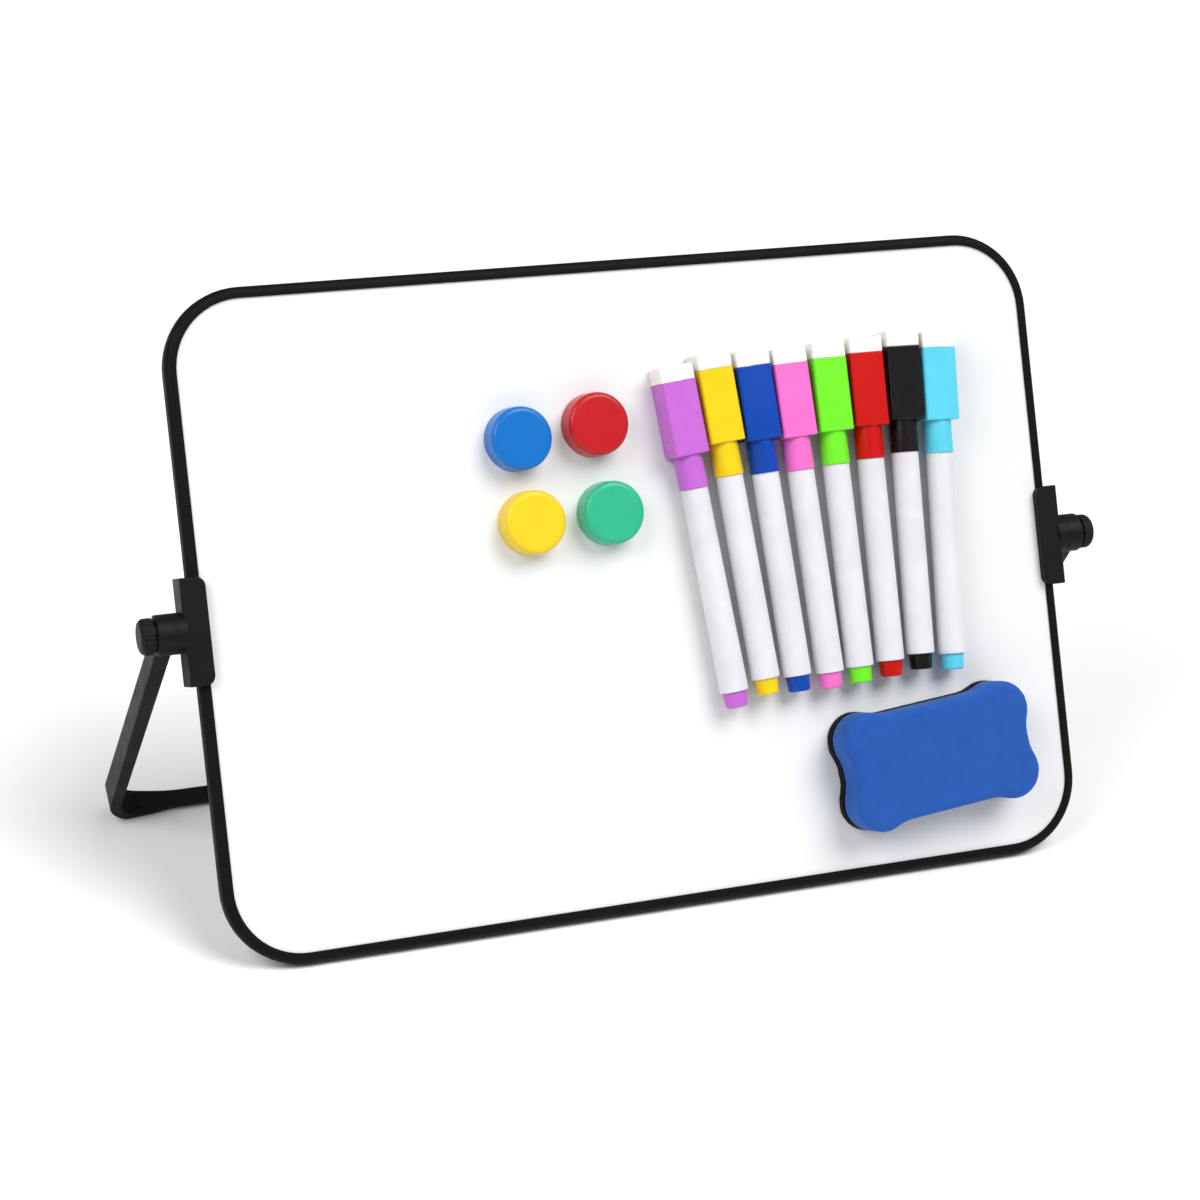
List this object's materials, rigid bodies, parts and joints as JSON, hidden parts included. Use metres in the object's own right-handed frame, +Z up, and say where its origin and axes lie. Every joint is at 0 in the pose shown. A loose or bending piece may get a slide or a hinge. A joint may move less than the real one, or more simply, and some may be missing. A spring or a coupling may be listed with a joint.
{
  "type": "magnetic whiteboard",
  "caption": "Desk-top magnetic whiteboard on a swing stand with clamp knobs, holding button magnets, felt-topped markers and a foam eraser.",
  "frame": {"origin": "middle of the floor that the whole set covers, on the desk", "axes": "+X to the right along the board and the pivot, -Y to the front where the white face looks, +Z up"},
  "size_m": [0.3298, 0.1201, 0.1903],
  "materials": {
    "trim_plastic": "satin",
    "black_plastic": "satin",
    "white_enamel": "gloss",
    "core_board": "matte",
    "zinc_steel": "satin",
    "nylon": "satin",
    "ferrite": "matte",
    "eraser_foam": "matte",
    "black_felt": "matte",
    "white_felt": "matte",
    "white_barrel": "gloss",
    "purple_cap_plastic": "gloss",
    "yellow_cap_plastic": "gloss",
    "blue_cap_plastic": "gloss",
    "pink_cap_plastic": "gloss",
    "green_cap_plastic": "gloss",
    "red_cap_plastic": "gloss",
    "black_cap_plastic": "gloss",
    "sky_cap_plastic": "gloss",
    "blue_magnet_plastic": "gloss",
    "red_magnet_plastic": "gloss",
    "yellow_magnet_plastic": "gloss",
    "green_magnet_plastic": "gloss"
  },
  "bodies": {
    "board": {"upper_trim": "trim_plastic", "lower_trim": "trim_plastic", "front_sheet": "white_enamel", "core_panel": "core_board", "back_sheet": "white_enamel", "left_clip": "black_plastic", "right_clip": "black_plastic", "clip_nuts": "zinc_steel", "friction_washers": "nylon"},
    "stand": {"stand_frame": "black_plastic"},
    "left_knob": {"left_knob": "black_plastic", "left_stud": "zinc_steel"},
    "right_knob": {"right_knob": "black_plastic", "right_stud": "zinc_steel"},
    "blue_magnet": {"blue_magnet_shell": "blue_magnet_plastic", "blue_magnet_disc": "ferrite"},
    "red_magnet": {"red_magnet_shell": "red_magnet_plastic", "red_magnet_disc": "ferrite"},
    "yellow_magnet": {"yellow_magnet_shell": "yellow_magnet_plastic", "yellow_magnet_disc": "ferrite"},
    "green_magnet": {"green_magnet_shell": "green_magnet_plastic", "green_magnet_disc": "ferrite"},
    "eraser": {"eraser_foam": "eraser_foam", "eraser_felt": "black_felt", "eraser_magnet": "ferrite"},
    "purple_marker": {"purple_barrel": "white_barrel", "purple_plug_and_nib": "purple_cap_plastic"},
    "purple_marker_cap": {"purple_cap": "purple_cap_plastic", "purple_felt_pad": "white_felt"},
    "yellow_marker": {"yellow_barrel": "white_barrel", "yellow_plug_and_nib": "yellow_cap_plastic"},
    "yellow_marker_cap": {"yellow_cap": "yellow_cap_plastic", "yellow_felt_pad": "white_felt"},
    "blue_marker": {"blue_barrel": "white_barrel", "blue_plug_and_nib": "blue_cap_plastic"},
    "blue_marker_cap": {"blue_cap": "blue_cap_plastic", "blue_felt_pad": "white_felt"},
    "pink_marker": {"pink_barrel": "white_barrel", "pink_plug_and_nib": "pink_cap_plastic"},
    "pink_marker_cap": {"pink_cap": "pink_cap_plastic", "pink_felt_pad": "white_felt"},
    "green_marker": {"green_barrel": "white_barrel", "green_plug_and_nib": "green_cap_plastic"},
    "green_marker_cap": {"green_cap": "green_cap_plastic", "green_felt_pad": "white_felt"},
    "red_marker": {"red_barrel": "white_barrel", "red_plug_and_nib": "red_cap_plastic"},
    "red_marker_cap": {"red_cap": "red_cap_plastic", "red_felt_pad": "white_felt"},
    "black_marker": {"black_barrel": "white_barrel", "black_plug_and_nib": "black_cap_plastic"},
    "black_marker_cap": {"black_cap": "black_cap_plastic", "black_felt_pad": "white_felt"},
    "sky_marker": {"sky_barrel": "white_barrel", "sky_plug_and_nib": "sky_cap_plastic"},
    "sky_marker_cap": {"sky_cap": "sky_cap_plastic", "sky_felt_pad": "white_felt"}
  },
  "joints": [
    {"name": "stand_tilt", "type": "hinge", "parent": "board", "child": "stand", "pos_m": [0, -0.0052, 0.09603], "axis": [1, 0, 0], "continuous": true},
    {"name": "left_knob_turn", "type": "hinge", "parent": "board", "child": "left_knob", "pos_m": [-0.16285, -0.0052, 0.09603], "axis": [-1, 0, 0], "range_deg": [0, 360]},
    {"name": "right_knob_turn", "type": "hinge", "parent": "board", "child": "right_knob", "pos_m": [0.16285, -0.0052, 0.09603], "axis": [1, 0, 0], "range_deg": [0, 360]},
    {"name": "blue_magnet_lift", "type": "slide", "parent": "board", "child": "blue_magnet", "axis": [0, -0.8988, 0.4384], "range_m": [0, 0.02]},
    {"name": "red_magnet_lift", "type": "slide", "parent": "board", "child": "red_magnet", "axis": [0, -0.8988, 0.4384], "range_m": [0, 0.02]},
    {"name": "yellow_magnet_lift", "type": "slide", "parent": "board", "child": "yellow_magnet", "axis": [0, -0.8988, 0.4384], "range_m": [0, 0.02]},
    {"name": "green_magnet_lift", "type": "slide", "parent": "board", "child": "green_magnet", "axis": [0, -0.8988, 0.4384], "range_m": [0, 0.02]},
    {"name": "eraser_lift", "type": "slide", "parent": "board", "child": "eraser", "axis": [0, -0.8988, 0.4384], "range_m": [0, 0.025]},
    {"name": "purple_marker_lift", "type": "slide", "parent": "board", "child": "purple_marker", "axis": [0, -0.8988, 0.4384], "range_m": [0, 0.02]},
    {"name": "purple_cap_pull", "type": "slide", "parent": "purple_marker", "child": "purple_marker_cap", "axis": [-0.0976, 0.4363, 0.8945], "range_m": [0, 0.025]},
    {"name": "yellow_marker_lift", "type": "slide", "parent": "board", "child": "yellow_marker", "axis": [0, -0.8988, 0.4384], "range_m": [0, 0.02]},
    {"name": "yellow_cap_pull", "type": "slide", "parent": "yellow_marker", "child": "yellow_marker_cap", "axis": [-0.0785, 0.437, 0.896], "range_m": [0, 0.025]},
    {"name": "blue_marker_lift", "type": "slide", "parent": "board", "child": "blue_marker", "axis": [0, -0.8988, 0.4384], "range_m": [0, 0.02]},
    {"name": "blue_cap_pull", "type": "slide", "parent": "blue_marker", "child": "blue_marker_cap", "axis": [-0.0576, 0.4376, 0.8973], "range_m": [0, 0.025]},
    {"name": "pink_marker_lift", "type": "slide", "parent": "board", "child": "pink_marker", "axis": [0, -0.8988, 0.4384], "range_m": [0, 0.02]},
    {"name": "pink_cap_pull", "type": "slide", "parent": "pink_marker", "child": "pink_marker_cap", "axis": [-0.0436, 0.438, 0.8979], "range_m": [0, 0.025]},
    {"name": "green_marker_lift", "type": "slide", "parent": "board", "child": "green_marker", "axis": [0, -0.8988, 0.4384], "range_m": [0, 0.02]},
    {"name": "green_cap_pull", "type": "slide", "parent": "green_marker", "child": "green_marker_cap", "axis": [-0.014, 0.4383, 0.8987], "range_m": [0, 0.025]},
    {"name": "red_marker_lift", "type": "slide", "parent": "board", "child": "red_marker", "axis": [0, -0.8988, 0.4384], "range_m": [0, 0.02]},
    {"name": "red_cap_pull", "type": "slide", "parent": "red_marker", "child": "red_marker_cap", "axis": [0.007, 0.4384, 0.8988], "range_m": [0, 0.025]},
    {"name": "black_marker_lift", "type": "slide", "parent": "board", "child": "black_marker", "axis": [0, -0.8988, 0.4384], "range_m": [0, 0.02]},
    {"name": "black_cap_pull", "type": "slide", "parent": "black_marker", "child": "black_marker_cap", "axis": [0.0297, 0.4382, 0.8984], "range_m": [0, 0.025]},
    {"name": "sky_marker_lift", "type": "slide", "parent": "board", "child": "sky_marker", "axis": [0, -0.8988, 0.4384], "range_m": [0, 0.02]},
    {"name": "sky_cap_pull", "type": "slide", "parent": "sky_marker", "child": "sky_marker_cap", "axis": [0.0436, 0.438, 0.8979], "range_m": [0, 0.025]}
  ]
}
